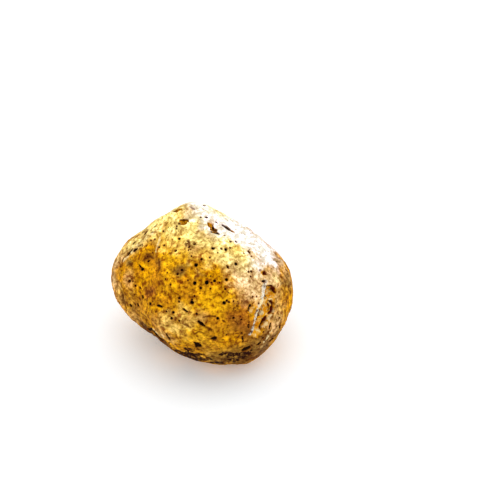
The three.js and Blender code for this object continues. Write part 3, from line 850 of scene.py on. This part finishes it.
# The pale of the shoulder, partly the skin's own and partly painted highlight, fades out over the
# top of the back.
# Tint, a point near the place, radius and strength, in millimetres.
BACK_DABS = [
    ("cream", (3, 8, 38), 5, 0.75), ("blush", (2, 14, 33), 4, 0.8),
    ("cream", (-4, 11, 35), 4, 0.7), ("cream", (-2, 18, 27), 4.5, 0.7),
    ("blush", (5, 20, 24), 4, 0.6), ("pale", (-1, 6, 40), 3, 0.6),
]
for tint_name, near_mm, radius, strength in BACK_DABS:
    place, _, _, _ = skin_tree.find_nearest(Vector(near_mm) * MM)
    dab(tint_name, np.array(place), radius * MM, strength)
print("the skin's mean colour, in light values, is", colours.mean(0).round(2))

# %% Attributes for the material
ATTRIBUTES = {
    "hole": hole_radii + 0.8 * warp,
    "hole_size": hole_size / MM,
    "slit": slit_radii,
    "brown_hollow": brown_radii,
    "flesh_hollow": flesh_radii,
    "lip": lip_paint,
    "torn": torn,
    "flesh_shadow_groove": flesh_shadow_radii,
    "ridge": ridge_radii,
    "soft_groove": soft_radii,
    "scuff": scuff_radii,
    "side": towards_side,
    "raised": np.clip(0.5 + 2.2 * lumps, 0, 1),
}
paint = skin.data.color_attributes.new("tint", "FLOAT_COLOR", "POINT")
with_alpha = np.column_stack([np.clip(colours, 0, 1), np.ones(len(colours))])
paint.data.foreach_set("color", with_alpha.astype(np.float32).ravel())
for name, values in ATTRIBUTES.items():
    layer = skin.data.attributes.new(name, "FLOAT", "POINT")
    layer.data.foreach_set("value", np.ascontiguousarray(values, dtype=np.float32))
print("the mesh carries", [layer.name for layer in skin.data.attributes if layer.name[0] != "."])

# %% [markdown]
# ## The material of the skin
#
# The skin is matte and dry. Under a lens it is a crust of tiny scales. Noise in Object coordinates
# makes the scales, and gives both their colour and their bump, so that the two agree: over the
# skin's own mottling it is painted darker in the low parts of the bump, as painted shade, and
# lighter on the high parts, as painted highlight. The marks come last, each as a tint that its
# attribute lets through. The pinholes are painted dark as the shade in them: a wide one black, and
# a small one dark red, because light reaches its walls.

# %% Helpers for the material
COLOUR_A, COLOUR_B, COLOUR_OUT = 6, 7, 2  # a Mix node's sockets for colours
PER_MM = 1000  # a noise scale of 1000 makes lumps of about 1 mm

material = bpy.data.materials.new("truffle_skin")
material.use_nodes = True
tree = material.node_tree
tree.nodes.clear()


def new_node(kind, inputs=None, **settings):
    """Adds a node with these settings. Each input takes a number, a colour or another socket."""
    node = tree.nodes.new(kind)
    for name, value in settings.items():
        setattr(node, name, value)
    for name, value in (inputs or {}).items():
        if isinstance(value, bpy.types.NodeSocket):
            tree.links.new(value, node.inputs[name])
        else:
            node.inputs[name].default_value = value
    return node


def work_out(operation, *values):
    """Adds a Math node."""
    return new_node("ShaderNodeMath", dict(enumerate(values)), operation=operation).outputs[0]


def times(first, *others):
    """Multiplies values together."""
    for other in others:
        first = work_out("MULTIPLY", first, other)
    return first


def between(value, start, end, low=0.0, high=1.0):
    """Turns the range from start to end into the range from low to high."""
    sockets = {"Value": value, "From Min": start, "From Max": end, "To Min": low, "To Max": high}
    return new_node("ShaderNodeMapRange", sockets).outputs["Result"]


def blend(under, over, factor, how="MIX"):
    """Lays one colour over another as strongly as the factor says."""
    sockets = {0: factor, COLOUR_A: under, COLOUR_B: over}
    return new_node("ShaderNodeMix", sockets, data_type="RGBA", blend_type=how).outputs[COLOUR_OUT]


def stain(under, dye, *masks):
    """Multiplies a colour by a dye, as strongly as the masks together say."""
    return blend(under, dye, times(*masks), "MULTIPLY")


def attribute(name, output="Fac"):
    """Reads an attribute of the mesh."""
    return new_node("ShaderNodeAttribute", attribute_name=name).outputs[output]


position = new_node("ShaderNodeTexCoord").outputs["Object"]


def grain(size_mm, detail, distortion=0.0, where=position):
    """Noise with lumps of about this size, around 0.5."""
    sockets = {
        "Vector": where,
        "Scale": PER_MM / size_mm,
        "Detail": detail,
        "Roughness": 0.6,
        "Distortion": distortion,
    }
    return new_node("ShaderNodeTexNoise", sockets).outputs["Fac"]


# %% The scales of the skin
LIGHTER = (1.7, 1.72, 2.3, 1)  # lightens the tint, partly as painted highlight on the high parts of the scales
DARKER = (0.37, 0.165, 0.07, 1)  # darkens the tint, partly as painted shade in the low parts of the scales and lumps
STREAK_LENGTH = 4.5  # how much longer than wide the streaks of the sides are

coarse = grain(2.8, detail=5, distortion=0.3)
medium = grain(1.15, detail=4, distortion=0.3)
tiny = grain(0.45, detail=2)
squeezed = {"Vector": position, "Scale": (1, 1, 1 / STREAK_LENGTH)}
upright = new_node("ShaderNodeMapping", squeezed).outputs["Vector"]
streaks = grain(0.8, detail=3, distortion=0.1, where=upright)

base = attribute("tint", "Color")
paleness = new_node("ShaderNodeSeparateColor", {"Color": base}).outputs["Blue"]
calm = between(paleness, 0.05, 0.5, 1.0, 0.2)  # where the tint is pale, the darker stains are weaker
side = attribute("side")

# Painted shade in the low parts of the lumps and of the scales' bump, and painted highlight on
# their high parts, over the skin's own mottling. The streaks of the sides are a pattern of the
# skin.
base = stain(base, DARKER, between(attribute("raised"), 0.5, 0.15), 0.3, calm)
base = stain(base, DARKER, between(coarse, 0.5, 0.3), 0.65, calm)
base = stain(base, LIGHTER, between(coarse, 0.5, 0.66), 0.6)
base = stain(base, DARKER, between(medium, 0.485, 0.37), 0.92, calm)
base = stain(base, LIGHTER, between(medium, 0.5, 0.62), 0.9)
base = stain(base, DARKER, between(tiny, 0.41, 0.33), 0.75)
base = stain(base, DARKER, between(streaks, 0.47, 0.36), side, calm, 0.6)
base = stain(base, LIGHTER, between(streaks, 0.52, 0.64), side, 0.6)
print("the scales take", len(tree.nodes), "nodes")

# %% Pricks too small for the mesh
PRICKS_APART_MM = 1.5
PRICKED_SHARE = 0.4  # of the cells
PRICK_RADIUS = 0.17  # of a cell

cells = new_node("ShaderNodeTexVoronoi", {"Vector": position, "Scale": PER_MM / PRICKS_APART_MM})
chances = new_node("ShaderNodeSeparateColor", {"Color": cells.outputs["Color"]}).outputs
radius = between(chances["Green"], 0, 1, 0.5 * PRICK_RADIUS, PRICK_RADIUS)
inside = between(work_out("DIVIDE", cells.outputs["Distance"], radius), 1.2, 0.8)
chosen = between(chances["Red"], PRICKED_SHARE, 0.8 * PRICKED_SHARE)


def cover(name):
    """A tint with full cover, as a shader's socket takes it."""
    return (*TINTS[name], 1)


# Painted shade: dark dots stand for the shade inside pricks that the mesh doesn't have.
base = blend(base, cover("slit"), times(inside, chosen, 0.85))
print("with the pricks it takes", len(tree.nodes), "nodes")

# %% The torn flesh, hollows and cracks
brown = blend(cover("earth"), cover("flesh"), between(medium, 0.42, 0.58))
base = blend(base, brown, between(attribute("brown_hollow"), 1.1, 0.8))

# The flesh is painted brighter on the high parts of its bump and darker in its low parts: partly
# painted highlight and shade.
flesh = blend(cover("flesh"), cover("bright flesh"), between(medium, 0.48, 0.6))
flesh = blend(flesh, cover("crack shade"), between(coarse, 0.45, 0.36))
base = blend(base, flesh, times(attribute("torn"), 0.92))
base = blend(base, flesh, between(attribute("flesh_hollow"), 1.15, 0.9))

ridge = times(between(attribute("ridge"), 1.2, 0.4), 0.7, between(medium, 0.42, 0.54))
base = blend(base, cover("dust"), ridge)
# Painted shadow on the torn hollows' walls that face away from the light.
base = blend(base, cover("flesh shadow"), between(attribute("flesh_shadow_groove"), 1.3, 0.5))
# Painted shade: brown in the furrows and cracks.
base = blend(base, cover("crack shade"), times(between(attribute("soft_groove"), 1.3, 0.4), 0.8))
scuff = times(between(attribute("scuff"), 1.3, 1.0), between(medium, 0.66, 0.54))
base = blend(base, cover("scuff"), scuff)

# %% The lip, slits and pinholes
lip_tint = blend(cover("torn edge"), cover("dust"), between(coarse, 0.48, 0.6))
lip_tint = blend(lip_tint, cover("grey"), between(medium, 0.47, 0.36))
unworn = between(tiny, 0.36, 0.46, 0.35, 1.0)  # the lip is worn through in places
base = blend(base, lip_tint, times(attribute("lip"), unworn))

# The slits and pinholes are painted dark as the shade inside them: a wide pinhole black, a small
# one dark red.
slit = attribute("slit")
hole = attribute("hole")
hole_shade_tint = blend(cover("small hole shade"), cover("hole"), between(attribute("hole_size"), 0.28, 0.44))
for radii, tint in ((slit, cover("slit")), (hole, hole_shade_tint)):
    base = blend(base, cover("russet"), times(between(radii, 1.6, 1.0), 0.6))  # a stain round it
    base = blend(base, tint, between(radii, 1.05, 0.8))

# %% The shader
BUMP_DEPTH = 0.22 * MM
TINY_SHARE = 0.4  # how high the tiny lumps are against the others

heights = work_out("ADD", coarse, medium)
heights = work_out("MULTIPLY_ADD", tiny, TINY_SHARE, heights)
crust = new_node("ShaderNodeBump", {"Height": heights, "Distance": BUMP_DEPTH})
shader = new_node(
    "ShaderNodeBsdfPrincipled",
    {
        "Base Color": base,
        "Roughness": 0.68,
        "Specular IOR Level": 0.03,
        "Normal": crust.outputs["Normal"],
    },
)
new_node("ShaderNodeOutputMaterial", {"Surface": shader.outputs["BSDF"]})
skin.data.materials.clear()
skin.data.materials.append(material)
print("the material has", len(tree.nodes), "nodes")

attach(skin, "root")
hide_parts("truffle")

# %% [markdown]
# ## Floor and light
#
# The truffle lies on plain near-white paper. A large soft light from the upper right, a little
# behind, leaves its right shoulder almost white, shades the lower left, and lets a soft shadow
# fall on the paper. White surroundings fill in the rest, so no shade turns black. Paper lit this
# brightly looks white even in a soft shadow, which a faint cool glow of its own stands for.

# %% Floor
FLOOR_SIZE = 3
PAPER = (0.96, 0.975, 0.99, 1)
PAPER_GLOW = (0.72, 0.9, 1.0, 1)
GLOW_STRENGTH = 0.12

bpy.ops.object.select_all(action="DESELECT")
bpy.ops.mesh.primitive_plane_add(size=FLOOR_SIZE)
floor = bpy.context.active_object
floor.name = "floor"
paper = bpy.data.materials.new("paper")
paper.use_nodes = True
sheet = paper.node_tree.nodes["Principled BSDF"]
sheet.inputs["Base Color"].default_value = PAPER
sheet.inputs["Roughness"].default_value = 0.9
sheet.inputs["Emission Color"].default_value = PAPER_GLOW
sheet.inputs["Emission Strength"].default_value = GLOW_STRENGTH
floor.data.materials.append(paper)

# %% Lights
KEY_PLACE = Vector((0.08, 0.16, 0.52))
KEY_SIZE = 0.7
KEY_WATTS = 0.95
SURROUNDINGS_STRENGTH = 0.95

lamp = bpy.data.lights.new("key", "AREA")
lamp.size = KEY_SIZE
lamp.energy = KEY_WATTS
key = bpy.data.objects.new("key", lamp)
key.location = KEY_PLACE
key.rotation_euler = (MIDDLE - KEY_PLACE).to_track_quat("-Z", "Y").to_euler()
bpy.context.scene.collection.objects.link(key)

surroundings = bpy.data.worlds.new("white room")
surroundings.use_nodes = True
background = surroundings.node_tree.nodes["Background"]
background.inputs["Color"].default_value = (1, 1, 1, 1)
background.inputs["Strength"].default_value = SURROUNDINGS_STRENGTH
bpy.context.scene.world = surroundings
bpy.context.scene.view_settings.view_transform = "Standard"
print("the light stands", round((KEY_PLACE - MIDDLE).length, 2), "m from the truffle")
